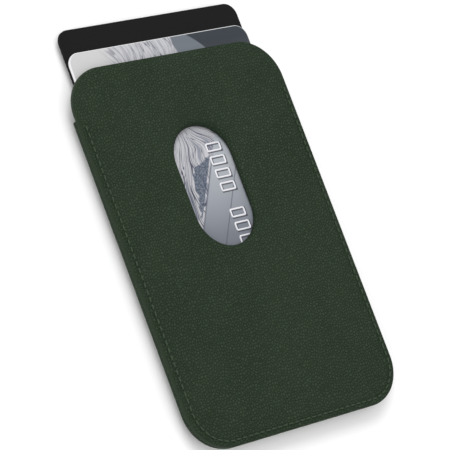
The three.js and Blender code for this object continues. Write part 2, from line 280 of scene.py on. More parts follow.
def seam_dip(across, along, y, groove_depth):
    """How deep the thread pulls the leather in: a groove with a pucker at each needle hole."""
    to_hole = (along + stitch_pitch / 2) % stitch_pitch - stitch_pitch / 2
    fade = np.exp(-((np.maximum(0, y - SEAM_TOP_Y) / HOLE_REACH) ** 2))
    groove = groove_depth * np.exp(-((across / GROOVE_REACH) ** 2))
    hole = HOLE_DEPTH * np.exp(-(across**2 + to_hole**2) / HOLE_REACH**2)
    return (groove + hole) * fade


# ---------- Materials ----------

PEBBLES_PER_MM = 1.4
SMALL_PEBBLES_PER_MM = PEBBLES_PER_MM * 2.3
PEBBLE_HEIGHT = 0.14 * MM


def srgb(red, green, blue):
    """A colour on the 0 to 255 scale as linear RGBA."""
    made = []
    for value in (red, green, blue):
        c = value / 255
        made.append(c / 12.92 if c <= 0.04045 else ((c + 0.055) / 1.055) ** 2.4)
    return (*made, 1.0)


class Shader:
    """A node material, built by short calls that each return an output socket."""

    def __init__(self, name, roughness, specular=0.5, metallic=0.0):
        self.material = bpy.data.materials.new(name)
        self.material.use_nodes = True
        self.tree = self.material.node_tree
        self.surface = self.tree.nodes["Principled BSDF"]
        self.set("Roughness", roughness)
        self.set("Specular IOR Level", specular)
        self.set("Metallic", metallic)
        place = self.node("ShaderNodeTexCoord").outputs["Object"]
        self.mm = self.vector("MULTIPLY", place, (1 / MM, 1 / MM, 1 / MM))
        split = self.node("ShaderNodeSeparateXYZ", Vector=self.mm)
        self.x, self.y = split.outputs[:2]

    def set(self, socket, value):
        self.feed(self.surface.inputs[socket], value)

    def feed(self, socket, value):
        if isinstance(value, bpy.types.NodeSocket):
            self.tree.links.new(value, socket)
        else:
            socket.default_value = value

    def node(self, kind, settings=None, **inputs):
        made = self.tree.nodes.new(kind)
        for key, value in (settings or {}).items():
            setattr(made, key, value)
        for key, value in inputs.items():
            self.feed(made.inputs[key.replace("_", " ")], value)
        return made

    def vector(self, operation, a, b):
        made = self.node("ShaderNodeVectorMath", {"operation": operation})
        self.feed(made.inputs[0], a)
        self.feed(made.inputs[1], b)
        return made.outputs[0]

    def math(self, operation, *values):
        made = self.node("ShaderNodeMath", {"operation": operation})
        for socket, value in zip(made.inputs, values):
            self.feed(socket, value)
        return made.outputs[0]

    def add(self, a, b):
        return self.math("ADD", a, b)

    def minus(self, a, b):
        return self.math("SUBTRACT", a, b)

    def times(self, a, b):
        return self.math("MULTIPLY", a, b)

    def absolute(self, value):
        return self.math("ABSOLUTE", value)

    def highest(self, first, *others):
        for value in others:
            first = self.math("MAXIMUM", first, value)
        return first

    def step(self, value, low, high):
        """0 below low and 1 above high, smooth between; low may be above high."""
        settings = {"interpolation_type": "SMOOTHSTEP"}
        made = self.node("ShaderNodeMapRange", settings, Value=value)
        flip = low > high
        self.feed(made.inputs["From Min"], high if flip else low)
        self.feed(made.inputs["From Max"], low if flip else high)
        self.feed(made.inputs["To Min"], 1.0 if flip else 0.0)
        self.feed(made.inputs["To Max"], 0.0 if flip else 1.0)
        return made.outputs[0]

    def mix(self, factor, a, b):
        made = self.node("ShaderNodeMix", {"data_type": "RGBA"})
        self.feed(made.inputs[0], factor)
        self.feed(made.inputs[6], a)
        self.feed(made.inputs[7], b)
        return made.outputs[2]

    def noise(self, scale, detail=2.0, distortion=0.0, at=None):
        at = self.mm if at is None else at
        made = self.node("ShaderNodeTexNoise", Vector=at, Scale=scale, Detail=detail)
        self.feed(made.inputs["Distortion"], distortion)
        return made.outputs["Fac"]

    def attribute(self, name, output):
        return self.node("ShaderNodeAttribute", {"attribute_name": name}).outputs[output]

    def cells(self, at, scale):
        """Distance to the edge of the cell, in cells, of a plane tiling."""
        settings = {"feature": "DISTANCE_TO_EDGE", "voronoi_dimensions": "2D"}
        made = self.node("ShaderNodeTexVoronoi", settings, Vector=at, Scale=scale)
        return made.outputs["Distance"]

    def jitter(self, at, scale, amount):
        """A place pushed about by noise."""
        noise = self.node("ShaderNodeTexNoise", Vector=at, Scale=scale)
        centred = self.vector("SUBTRACT", noise.outputs["Color"], (0.5, 0.5, 0.5))
        return self.vector("ADD", at, self.vector("MULTIPLY", centred, (amount, amount, amount)))

    def ramp(self, value, low, high, stops):
        """A colour that runs through stops, a list of (value, colour), as value goes low to high."""
        share = self.math("DIVIDE", self.minus(value, low), high - low)
        made = self.node("ShaderNodeValToRGB", Fac=share)
        elements = made.color_ramp.elements
        while len(elements) < len(stops):
            elements.new(0.5)
        for element, (at, colour) in zip(elements, stops):
            element.position = (at - low) / (high - low)
            element.color = colour
        return made.outputs["Color"]

    def bump(self, height, depth, strength=1.0, below=None):
        """Relief of that depth in metres, on top of another bump."""
        made = self.node("ShaderNodeBump", Height=height, Distance=depth, Strength=strength)
        if below is not None:
            self.feed(made.inputs["Normal"], below)
        return made.outputs["Normal"]


def leather_material():
    """Dark green leather: fine pebble grain, cloudy dye, and painted shade, also glossier, where the
    mesh's point attribute asks for it. The pebble tops carry a painted highlight and the cracks
    between them painted shade.
    """
    s = Shader("green_pebbled_leather", roughness=0.6, specular=0.08)
    flat = s.vector("MULTIPLY", s.attribute("unrolled", "Vector"), (1 / MM, 1 / MM, 1 / MM))
    place = s.jitter(flat, scale=0.9, amount=0.5)
    large = s.step(s.cells(place, PEBBLES_PER_MM), 0.0, 0.42)
    small = s.step(s.cells(place, SMALL_PEBBLES_PER_MM), 0.0, 0.42)
    grain = s.add(s.times(large, 0.75), s.times(small, 0.25))
    cloud = s.noise(0.11, detail=3.0)
    dye = s.mix(s.step(cloud, 0.36, 0.64), srgb(33, 46, 31), srgb(37, 50, 35))
    # Painted light on the grain: the cracks are painted darker as shade, the pebble tops lighter as a
    # highlight.
    painted_crack_shade = s.mix(0.4, dye, srgb(16, 25, 15))
    top = s.mix(0.28, dye, srgb(72, 86, 70))
    grain_with_painted_light = s.mix(s.step(grain, 0.1, 0.95), painted_crack_shade, top)
    # Painted shade: the point attribute darkens the leather on the slot's lip and top side, on the
    # panel's edge and under it, and in the seam's marks; it also makes the leather glossier there.
    painted_shade_and_card_core = s.attribute("painted_shade_and_card_core", "Fac")
    s.set("Base Color", s.mix(s.times(painted_shade_and_card_core, 0.55), grain_with_painted_light, srgb(25, 34, 24)))
    s.set("Roughness", s.minus(0.66, s.times(painted_shade_and_card_core, 0.16)))
    soft = s.bump(s.noise(0.5, detail=3.0), 0.1 * MM, strength=0.35)
    rough = s.bump(s.noise(6.0, detail=2.0), 0.02 * MM, strength=0.5, below=soft)
    s.set("Normal", s.bump(grain, PEBBLE_HEIGHT, strength=0.9, below=rough))
    return s.material


def thread_material():
    s = Shader("green_bonded_thread", roughness=0.75, specular=0.1)
    fibre = s.noise(9.0, detail=3.0, distortion=1.0)
    s.set("Base Color", s.mix(fibre, srgb(46, 59, 44), srgb(64, 78, 61)))
    s.set("Normal", s.bump(fibre, 0.02 * MM, strength=0.5))
    return s.material


def edge_paint_material():
    s = Shader("green_edge_paint", roughness=0.5, specular=0.12)
    ripple = s.noise(1.4, detail=3.0)
    s.set("Base Color", s.mix(ripple, srgb(25, 38, 23), srgb(34, 47, 31)))
    s.set("Roughness", s.add(0.42, s.times(ripple, 0.16)))
    s.set("Normal", s.bump(ripple, 0.05 * MM, strength=0.4))
    return s.material


def lining_material():
    s = Shader("green_microfibre", roughness=0.95, specular=0.1)
    nap = s.noise(7.0, detail=4.0, distortion=0.8)
    s.set("Base Color", s.mix(nap, srgb(24, 30, 23), srgb(42, 50, 39)))
    s.set("Sheen Weight", 0.25)
    s.set("Normal", s.bump(nap, 0.04 * MM, strength=0.7))
    return s.material


def board_material():
    s = Shader("bonded_leather_board", roughness=0.85, specular=0.2)
    fibre = s.noise(2.2, detail=5.0, distortion=1.5)
    s.set("Base Color", s.mix(fibre, srgb(34, 38, 30), srgb(62, 62, 50)))
    s.set("Normal", s.bump(fibre, 0.05 * MM, strength=0.6))
    return s.material


def metal_material(name, dark, light, roughness):
    s = Shader(name, roughness=roughness, metallic=1.0)
    brushed = s.vector("MULTIPLY", s.mm, (0.4, 8.0, 1.0))
    scratch = s.noise(1.0, detail=4.0, at=brushed)
    s.set("Base Color", s.mix(scratch, dark, light))
    s.set("Roughness", s.add(roughness - 0.06, s.times(scratch, 0.14)))
    s.set("Normal", s.bump(scratch, 0.01 * MM, strength=0.3))
    return s.material


def chip_material():
    """Gold contacts, parted by thin dark lines."""
    s = Shader("gold_contacts", roughness=0.3, metallic=1.0)
    low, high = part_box("gray_card_chip_plate")
    middle = (low + high) / (2 * MM)
    across = s.absolute(s.minus(s.x, middle.x))
    along = s.absolute(s.minus(s.y, middle.y))
    line_places = [(across, 2.0), (along, 0.0), (along, 3.2)]  # from the plate's middle
    lines = [s.step(s.absolute(s.minus(distance, at)), 0.16, 0.09) for distance, at in line_places]
    gap = s.highest(*lines)
    tarnish = s.noise(1.2, detail=3.0)
    gold = s.mix(tarnish, srgb(190, 152, 84), srgb(226, 194, 128))
    s.set("Base Color", s.mix(gap, gold, srgb(92, 76, 46)))
    s.set("Normal", s.bump(gap, -0.03 * MM))
    return s.material


def stripe_material():
    s = Shader("magnetic_tape", roughness=0.35, specular=0.5)
    speck = s.noise(6.0, detail=3.0)
    s.set("Base Color", s.mix(speck, srgb(22, 18, 16), srgb(40, 33, 30)))
    return s.material


def black_card_material():
    s = Shader("black_card_print", roughness=0.55, specular=0.1)
    speck = s.noise(5.0, detail=4.0)
    s.set("Base Color", s.mix(speck, srgb(10, 10, 10), srgb(15, 15, 15)))
    s.set("Normal", s.bump(speck, 0.008 * MM, strength=0.6))
    return s.material


# The gray card's print is laid out in millimetres from the slot's centre. A slope is x over y.
BORDER = {"x": -1.2, "slope": 0.604}  # between the engraving and the plain fields
HAIRLINE = {"x": 6.6, "slope": 0.619}  # on the plain fields
WEDGE_SIDE = {"x": -4.9, "slope": 0.22}  # the stippled wedge lies between it and the border
ARC_CENTRE = (-1.5, 22.0)  # the arc parts the two plain fields
ARC_RADII = (18.7, 18.4)  # its soft edge
FAN_CENTRE = (-4.0, 18.0)  # where the pen lines come from
PRINT_RANGE = (-48, 39)  # covers the card's length
FRAME_SHADOW_SHIFT = 0.24  # towards +X and -Y


def right_of(s, line):
    """Millimetres by which a point lies to the right of a slanting line."""
    on_line = s.add(line["x"], s.times(s.slot_y, line["slope"]))
    return s.times(s.minus(s.x, on_line), math.cos(math.atan(line["slope"])))


def from_centre(s, x, y, centre):
    """Offsets of (x, y) from a centre, and the distance."""
    dx, dy = s.minus(x, centre[0]), s.minus(y, centre[1])
    return dx, dy, s.math("SQRT", s.add(s.times(dx, dx), s.times(dy, dy)))


def plain_fields(s):
    """Two graded gray fields, parted by an arc and by a fine slanting line."""
    y = s.slot_y
    outer = s.ramp(y, *PRINT_RANGE, [(-48, srgb(100, 105, 113)), (-12, srgb(110, 114, 122)),
                                   (-3, srgb(138, 142, 149)), (6, srgb(158, 162, 167)),
                                   (14, srgb(150, 154, 160)), (24, srgb(92, 96, 103)),
                                   (35, srgb(50, 55, 61))])
    inner = s.ramp(y, *PRINT_RANGE, [(3, srgb(156, 160, 166)), (16, srgb(150, 155, 161)),
                                   (36, srgb(98, 104, 111))])
    radius = from_centre(s, s.x, y, ARC_CENTRE)[2]
    ground = s.mix(s.step(radius, *ARC_RADII), outer, inner)
    hairline = s.step(s.absolute(right_of(s, HAIRLINE)), 0.2, 0.08)
    faded = s.times(s.times(hairline, s.step(y, 14.0, 4.0)), 0.6)
    return s.mix(faded, ground, srgb(70, 72, 84))


def fan(s, fineness, length):
    """Noise drawn out along rays from the fan's centre, bent a little on their way."""
    bend = s.minus(s.noise(0.09, detail=1.0), 0.5)
    bent_x = s.add(s.x, s.times(bend, 9.0))
    dx, dy, radius = from_centre(s, bent_x, s.slot_y, FAN_CENTRE)
    inverse = s.math("DIVIDE", fineness, radius)
    ray = s.node("ShaderNodeCombineXYZ", X=s.times(dx, inverse), Y=s.times(dy, inverse),
                 Z=s.math("DIVIDE", radius, length))
    return s.noise(1.0, detail=1.0, at=ray.outputs[0])


def contour(s, value, level, width):
    """1 on the line where value passes level, 0 away from it."""
    return s.step(s.absolute(s.minus(value, level)), width, width * 0.35)


def pen_drawing(s):
    """Pale paper with hatching, broad strokes and pen lines, plain at the card's left edge."""
    dense = s.step(s.x, -19.0, -11.0)
    low_half = s.step(s.slot_y, 24.0, 16.0)
    folds = fan(s, 9.0, 22.0)
    lines = s.highest(contour(s, folds, 0.5, 0.016), contour(s, folds, 0.57, 0.014),
                      contour(s, folds, 0.44, 0.014))
    hatching = s.step(fan(s, 50.0, 3.0), 0.47, 0.38)
    broad = s.times(s.step(fan(s, 7.0, 14.0), 0.42, 0.37), low_half)
    drawn = s.mix(dense, srgb(181, 181, 181), srgb(175, 175, 179))
    drawn = s.mix(s.times(s.times(hatching, dense), 0.3), drawn, srgb(96, 101, 114))
    drawn = s.mix(s.times(s.times(broad, dense), 0.6), drawn, srgb(84, 92, 110))
    strength = s.add(0.72, s.times(low_half, 0.2))
    return s.mix(s.times(s.times(lines, dense), strength), drawn, srgb(58, 62, 78))


def engraving(s, border):
    """The pen drawing, with a stippled dark wedge beside the border."""
    ragged = s.times(s.minus(s.noise(0.8, detail=4.0), 0.5), 3.0)
    side = s.step(s.add(right_of(s, WEDGE_SIDE), ragged), -0.2, 0.4)
    above = s.add(s.add(s.slot_y, s.times(s.x, -0.39)), s.times(ragged, 0.5))
    wedge = s.times(s.times(side, s.step(border, -0.5, -0.75)), s.step(above, 6.6, 6.1))
    stipple = s.step(s.noise(2.2, detail=4.0), 0.42, 0.62)
    shade = s.mix(stipple, srgb(62, 71, 86), srgb(104, 111, 124))
    return s.mix(s.times(wedge, 0.92), pen_drawing(s), shade)


def frame_shadows(s):
    """Dark lines along the inner left and outer right of the embossed frames."""
    shift = FRAME_SHADOW_SHIFT
    place = s.math("DIVIDE", s.minus(FIRST_FRAME_Y / MM - shift, s.y), FRAME_PITCH / MM)
    index = s.math("ROUND", place)
    last = FRAME_GROUPS * (FRAMES_IN_GROUP + 1) - 2
    in_rows = s.times(s.math("GREATER_THAN", index, -0.5), s.math("LESS_THAN", index, last + 0.5))
    in_rows = s.minus(in_rows, s.math("COMPARE", index, FRAMES_IN_GROUP, 0.4))
    across = s.absolute(s.minus(s.x, FRAME_X / MM + shift))
    along = s.times(s.absolute(s.minus(place, index)), FRAME_PITCH / MM)
    out_x = s.minus(across, (FRAME_SIZE[0] - FRAME_STROKE) / 2 / MM)
    out_y = s.minus(along, (FRAME_SIZE[1] - FRAME_STROKE) / 2 / MM)
    edge = s.absolute(s.highest(out_x, out_y))
    return s.times(s.step(edge, 0.36, 0.2), in_rows)


def gray_card_material():
    """A silver card: pale engraving on the left, plain graded gray fields on the right, and painted
    shadows beside the embossed frames.
    """
    s = Shader("gray_card_print", roughness=0.42, specular=0.12)
    s.slot_y = s.minus(s.y, SLOT_Y / MM)
    border = right_of(s, BORDER)
    wobble = s.times(s.minus(s.noise(0.25, detail=3.0), 0.5), 3.0)
    shore = s.add(s.add(s.x, wobble), s.times(s.slot_y, 0.1))
    pale = s.times(s.step(border, 0.05, -0.05), s.step(shore, 7.7, 7.3))
    card_face_colour = s.mix(pale, plain_fields(s), engraving(s, border))
    ruled = s.times(s.step(s.absolute(border), 0.3, 0.12), s.step(s.slot_y, 9.0, 5.0))
    card_face_colour = s.mix(s.times(ruled, 0.7), card_face_colour, srgb(84, 88, 100))
    # Painted shadows of the embossed frames, as if cast towards +X and -Y.
    card_face_colour = s.mix(s.times(frame_shadows(s), 0.85), card_face_colour, srgb(60, 60, 70))
    core = s.step(s.attribute("painted_shade_and_card_core", "Fac"), 0.0, 0.2)
    s.set("Base Color", s.mix(core, card_face_colour, srgb(206, 206, 208)))
    s.set("Roughness", s.add(0.36, s.times(s.noise(1.5, detail=3.0), 0.12)))
    return s.material


def embossing_material():
    s = Shader("silver_embossing", roughness=0.35, specular=0.5)
    rubbed = s.noise(3.0, detail=3.0)
    s.set("Base Color", s.mix(rubbed, srgb(196, 196, 202), srgb(222, 222, 226)))
    return s.material


leather = leather_material()
thread = thread_material()
edge_paint = edge_paint_material()

# ---------- Slotted panel ----------

PANEL_SPACING = 0.25 * MM  # of points along the outline
SEAM_BAND = 4.2 * MM  # width of the finer mesh along the edge, for the seam's marks
AIM_INSET = 3.0 * MM  # the mesh's rays run from the slot's centre to this far inside the outline
LIP_PAINTED_SHADE = 0.75  # painted shade on the slot's lip, darkest at its foot down in the slot
SLOT_TOP_PAINTED_SHADE = 0.45  # painted shade on the slot's lip at its mouth end, the top side, fading a little way onto the face
SLOT_TOP_SHADE_REACH = 3.0 * MM
EDGE_PAINTED_SHADE = 0.2  # painted shade on the rounded edge
UNDER_EDGE_PAINTED_SHADE = 0.5  # painted shade just below it
UNDERSIDE_GAP = 0.02 * MM  # between the leather's back and the carrier board
UNDERSIDE_RIM = 0.4 * FOOT_CORNER_RADIUS


def panel_row(loop, painted_shade_and_card_core, normals):
    """A loop of points with its painted shade and its place on the skin laid out flat."""
    down = (TOP_Z - loop[:, 2])[:, None]
    return loop, np.zeros(len(loop)) + painted_shade_and_card_core, loop[:, :2] + down * normals


def lip_rows(slot, slot_normal, slot_top_shade):
    """The lip's quarter round, from the cards up to the face."""
    rows = []
    for angle in quarter(14):
        rise = math.sin(angle)
        loop = lift(slot + LIP_RADIUS * (1 - math.cos(angle)) * slot_normal,
                    SEAM_Z + LIP_RADIUS * rise)
        unrolled = slot + LIP_RADIUS * (1 - math.pi / 2 + angle) * slot_normal
        rows.append((loop, LIP_PAINTED_SHADE * (1 - rise) + slot_top_shade * rise, unrolled))
    return rows


def face_rows(slot_edge, points, normals, slot_top_shade):
    """The flat face, from the lip to the band that holds the seam."""
    band_edge = points - SEAM_BAND * normals
    reach = np.linalg.norm(band_edge - slot_edge, axis=1)
    rows = []
    for share in np.linspace(0, 1, 24)[1:-1]:
        fade = np.exp(-((share * reach / SLOT_TOP_SHADE_REACH) ** 2))
        loop = lift(slot_edge + (band_edge - slot_edge) * share, TOP_Z)
        rows.append(panel_row(loop, slot_top_shade * fade, normals))
    return rows


def band_rows(points, normals):
    """The band along the edge, with the seam's marks, and then the rounded edge."""
    along = along_seam(points - SEAM_INSET * normals)
    rows = []
    for inset in np.linspace(SEAM_BAND, PANEL_EDGE_ROUND, 30):
        loop = points - inset * normals
        dip = seam_dip(inset - SEAM_INSET, along, loop[:, 1], GROOVE_DEPTH)
        droop = EDGE_DROOP * (1 - smoothstep(0, EDGE_DROOP_REACH, inset))
        # Painted shade in the seam's groove and needle holes, deeper marks darker.
        painted_shade_and_card_core = SEAM_PAINTED_SHADE * dip / (GROOVE_DEPTH + HOLE_DEPTH)
        rows.append(panel_row(lift(loop, TOP_Z - dip - droop), painted_shade_and_card_core, normals))
    for angle in quarter(5)[1:]:
        inset = PANEL_EDGE_ROUND * (1 - math.sin(angle))
        z = TOP_Z - EDGE_DROOP - PANEL_EDGE_ROUND * (1 - math.cos(angle))
        rows.append(panel_row(lift(points - inset * normals, z), EDGE_PAINTED_SHADE, normals))
    return rows


def underside_rows(slot, slot_normal, points, normals):
    """The leather's back, just clear of the carrier board, and the inside of the lip."""
    z = PANEL_LEATHER_Z + UNDERSIDE_GAP
    rim = points - UNDERSIDE_RIM * normals
    rows = [panel_row(lift(points, z), UNDER_EDGE_PAINTED_SHADE, normals), panel_row(lift(rim, z), 0, normals)]
    radius = LIP_RADIUS - (TOP_Z - PANEL_LEATHER_Z)
    for angle in quarter(6)[::-1]:
        offset = LIP_RADIUS - radius * math.cos(angle)
        height = min(SEAM_Z + radius * math.sin(angle), z)
        rows.append(panel_row(lift(slot + offset * slot_normal, height), 0, normals))
    return rows


def panel_rows(points, normals):
    """Rows of the panel's leather: up the slot's lip, over the face and edge, and back below.

    Each is a loop, its painted shade and its unrolled place, with one entry for each point."""
    centre = np.array([0, SLOT_Y])
    rays = points - AIM_INSET * normals - centre
    rays /= np.linalg.norm(rays, axis=1)[:, None]
    slot, slot_normal = (np.array(found) for found in zip(*map(slot_ray, rays)))
    slot = slot + centre
    # Painted shade on the side of the slot towards the mouth.
    slot_top_shade = SLOT_TOP_PAINTED_SHADE * np.clip(slot_normal[:, 1], 0, 1)
    rows = lip_rows(slot, slot_normal, slot_top_shade)
    rows += face_rows(slot + LIP_RADIUS * slot_normal, points, normals, slot_top_shade)
    rows += band_rows(points, normals)
    rows += underside_rows(slot, slot_normal, points, normals)
    return rows


def make_panel_skin():
    path = outline_path()
    points, normals = path.samples(path.evenly(PANEL_SPACING, closed=True))
    loops, painted_shade_and_card_core, unrolled = (np.concatenate(rows) for rows in zip(*panel_rows(points, normals)))
    faces = grid_faces(len(loops) // len(points), len(points), close_rows=True, close_columns=True)
    faces = [f[::-1] for f in faces]
    skin = make_object("panel_leather_skin", loops, faces, leather, painted_shade_and_card_core.astype(np.float32), unrolled)
    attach(skin, "holder")
    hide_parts("panel_leather")


BEAD_SPACING = 0.4 * MM
BEAD_LOW_Z = SEAM_Z + 0.03 * MM
BEAD_HIGH_Z = TOP_Z - 0.34 * MM
BEAD_CROWN = 0.07 * MM  # the bead stands this far out of the outline at most
BEAD_DEPTH = 0.22 * MM


def make_edge_bead():
    """Edge paint over the cut edge of the whole panel, slightly crowned."""
    path = outline_path()
    points, normals = path.samples(path.evenly(BEAD_SPACING, closed=True))
    loops = []
    for share in np.linspace(0, 1, 9):
        out = BEAD_CROWN * math.sin(math.pi * share) ** 0.5
        loops.append(lift(points + out * normals, BEAD_LOW_Z + (BEAD_HIGH_Z - BEAD_LOW_Z) * share))
    for z in (BEAD_HIGH_Z, BEAD_LOW_Z):
        loops.append(lift(points - BEAD_DEPTH * normals, z))
    faces = grid_faces(len(loops), len(points), close_rows=True, close_columns=True)
    bead = make_object("panel_edge_paint_bead", np.concatenate(loops), faces, edge_paint)
    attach(bead, "holder")
    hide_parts("panel_edge_paint")


# ---------- Cover ----------

COVER_SPACING = 0.3 * MM
COVER_FLAT_INSET = 4.6 * MM  # the rim's rows end here, and the flat is filled by rows across


def shoulder_angle():
    """Angle down the quarter round at which the seam comes out."""
    return math.acos((SHOULDER_RADIUS - SEAM_INSET) / SHOULDER_RADIUS)


def cover_rim(points, normals):
    """Rows of the cover from its edge at the seam down the shoulder and a little way inwards.

    Returns a list of (row, painted shade, unrolled place), each with one row for each point."""
    along = along_seam(points - SEAM_INSET * normals)
    rows = []
    for angle in quarter(26):
        inset = SHOULDER_RADIUS * (1 - math.cos(angle))
        base = lift(points - inset * normals, SHOULDER_RADIUS * (1 - math.sin(angle)))
        outward = lift(normals * math.cos(angle), -math.sin(angle))
        across = SHOULDER_RADIUS * (angle - shoulder_angle())
        dip = seam_dip(across, along, base[:, 1], COVER_GROOVE_DEPTH)
        # Painted shade in the seam's groove and needle holes, deeper marks darker.
        painted_shade_and_card_core = SEAM_PAINTED_SHADE * dip / (COVER_GROOVE_DEPTH + HOLE_DEPTH)
        rows.append((base - dip[:, None] * outward, painted_shade_and_card_core, points - SHOULDER_RADIUS * angle * normals))
    for inset in np.linspace(SHOULDER_RADIUS, COVER_FLAT_INSET, 6)[1:]:
        unrolled = points - (inset + SHOULDER_RADIUS * (math.pi / 2 - 1)) * normals
        rows.append((lift(points - inset * normals, 0.0), np.zeros(len(points)), unrolled))
    return rows


def cover_flat(rim, rim_flat, first):
    """The flat face, by rows across from the left half of the rim's last row to the right half.

    first is the index of that row's first point, and the new points come after its last.
    Returns the new points, their unrolled places, and all the quads."""
    count = len(rim)
    corner = int(np.argmax(rim[:, 0] >= FOOT_CORNER_RADIUS - HALF_WIDTH))
    columns = count - 2 * corner
    inner, inner_flat = [], []
    index = np.zeros((corner + 1, columns), int)
    index[corner] = first + corner + np.arange(columns)
    for i in range(corner):
        j = count - 1 - i
        index[i, 0], index[i, -1] = first + i, first + j
        index[i, 1:-1] = first + count + len(inner) + np.arange(columns - 2)
        for share in np.linspace(0, 1, columns)[1:-1]:
            inner.append(rim[i] + (rim[j] - rim[i]) * share)
            inner_flat.append(rim_flat[i] + (rim_flat[j] - rim_flat[i]) * share)
    quads = np.stack([index[:-1, :-1], index[1:, :-1], index[1:, 1:], index[:-1, 1:]], -1)
    return inner, inner_flat, quads.reshape(-1, 4).tolist()


def make_cover_skin():
    """The moulded cover: a quarter-round shoulder on three sides and a flat face between."""
    path = three_sides(0, COVER_MOUTH_Y)
    points, normals = path.samples(path.evenly(COVER_SPACING, closed=False))
    rows, painted_shades, flats = zip(*cover_rim(points, normals))
    last = (len(rows) - 1) * len(points)
    inner, inner_flat, quads = cover_flat(rows[-1], flats[-1], last)
    faces = [f[::-1] for f in grid_faces(len(rows), len(points)) + quads]
    painted_shade_and_card_core = np.concatenate([*painted_shades, np.zeros(len(inner))]).astype(np.float32)

    skin = make_object("cover_leather_skin", np.concatenate([*rows, inner]), faces, leather, painted_shade_and_card_core,
                       np.concatenate([*flats, inner_flat]))
    skin.data.materials.append(edge_paint)
    shell = skin.modifiers.new("thickness", "SOLIDIFY")
    shell.thickness = COVER_LEATHER
    shell.offset = -1
    shell.use_even_offset = True
    shell.material_offset_rim = 1
    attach(skin, "holder")
    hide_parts("cover_leather")


# ---------- Stitches ----------

STITCH_RINGS = 13
STITCH_SIDES = 14
STITCH_SLANT = 0.03 * MM
STITCH_RADIUS = 0.85 * THREAD_RADIUS
STITCH_HEIGHT = 0.6 * THREAD_RADIUS  # of its centre over the groove's floor
STITCH_DIVE = 1.5 * THREAD_RADIUS  # its ends go down this far into the needle holes
STRANDS = 3
STRAND_RELIEF = 0.13  # of the stitch's radius
TWIST_PITCH = 1.1 * MM


def stitch_points(begin, end, surface):
    """One stitch: a twisted strand that dives into a needle hole at both ends."""
    share = np.linspace(0, 1, STITCH_RINGS)
    ends = np.abs(2 * share - 1)
    distance = begin + (end - begin) * share
    theta = np.linspace(0, 2 * math.pi, STITCH_SIDES, endpoint=False)
    rings = []
    for t, edge, d in zip(share, ends, distance):
        point, across, out = surface(d)
        height = STITCH_HEIGHT - STITCH_DIVE * edge**12
        centre = point + out * height + across * STITCH_SLANT * (t - 0.5) * 2
        radius = STITCH_RADIUS * (1 - 0.45 * edge**4)
        twist = d / TWIST_PITCH * 2 * math.pi
        lobes = radius * (1 + STRAND_RELIEF * np.cos(STRANDS * theta + twist))
        ring = np.cos(theta)[:, None] * across + np.sin(theta)[:, None] * out
        rings.append(centre + ring * lobes[:, None])
    return np.concatenate(rings)


def make_stitches(name, node, surface):
    vertices, faces = [], []
    size = STITCH_RINGS * STITCH_SIDES
    for k in range(stitch_count):
        first = k * size
        begin = k * stitch_pitch + STITCH_GAP / 2
        vertices.append(stitch_points(begin, begin + stitch_pitch - STITCH_GAP, surface))
        faces += grid_faces(STITCH_RINGS, STITCH_SIDES, close_columns=True, first=first)
        faces.append(list(range(first, first + STITCH_SIDES))[::-1])
        faces.append(list(range(first + size - STITCH_SIDES, first + size)))
    made = make_object(name, np.concatenate(vertices), faces, thread)
    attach(made, "holder")
    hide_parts(node)


def panel_seam_surface(distance):
    """Place, sideways and outward directions of the seam on the slotted face."""
    (x, y), (nx, ny) = seam_path.at(distance)
    return np.array([x, y, TOP_Z - GROOVE_DEPTH]), np.array([nx, ny, 0]), np.array([0, 0, 1.0])


def cover_seam_surface(distance):
    """The same on the cover's shoulder, where outward is sideways and down."""
    (x, y), (nx, ny) = seam_path.at(distance)
    angle = shoulder_angle()
    out = np.array([nx * math.cos(angle), ny * math.cos(angle), -math.sin(angle)])
    across = np.array([nx * math.sin(angle), ny * math.sin(angle), math.cos(angle)])
    base = np.array([x, y, SHOULDER_RADIUS * (1 - math.sin(angle))])
    return base - COVER_GROOVE_DEPTH * out, across, out


# ---------- Cards ----------

CARD_SPACING = 0.3 * MM
FRAME_SPACING = 0.12 * MM
# Section of a frame's stroke: across in stroke widths, height in frame heights.
FRAME_PROFILE = [(-0.5, -0.3), (-0.42, 0.55), (-0.2, 0.95), (0.2, 0.95), (0.42, 0.55), (0.5, -0.3)]


def make_card(name, node, body, material):
    """A laminated card with rounded corners and softened edges; its edge shows the core."""
    low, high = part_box(node)
    path = rounded_rectangle(low.x, low.y, high.x, high.y, CARD_RADIUS, CARD_RADIUS)
    points, normals = path.samples(path.evenly(CARD_SPACING, closed=True))
    bottom, top = low.z + INLAY_PROUD, high.z - INLAY_PROUD
    loops, core = [], []
    for face_z, inwards, angles in ((bottom, 1, quarter(5)), (top, -1, quarter(5)[::-1])):
        for angle in angles:
            inset = CARD_BEVEL * (1 - math.sin(angle))
            z = face_z + inwards * CARD_BEVEL * (1 - math.cos(angle))
            loops.append(lift(points - inset * normals, z))
            core.append(np.full(len(points), math.sin(angle)))
    count = len(points)
    faces = grid_faces(len(loops), count, close_columns=True)
    faces.append(list(range(count))[::-1])
    faces.append(list(range((len(loops) - 1) * count, len(loops) * count)))
    painted_shade_and_card_core = np.concatenate(core).astype(np.float32)
    card = make_object(name, np.concatenate(loops), faces, material, painted_shade_and_card_core)
    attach(card, body)
    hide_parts(node)


def frame_paths():
    """The middle line of each embossed frame."""
    half_x, half_y = (size / 2 - FRAME_STROKE / 2 for size in FRAME_SIZE)
    for group in range(FRAME_GROUPS):
        for place in range(FRAMES_IN_GROUP):
            y = FIRST_FRAME_Y - FRAME_PITCH * (group * (FRAMES_IN_GROUP + 1) + place)
            box = (FRAME_X - half_x, y - half_y, FRAME_X + half_x, y + half_y)
            yield rounded_rectangle(*box, FRAME_CORNER, FRAME_CORNER)


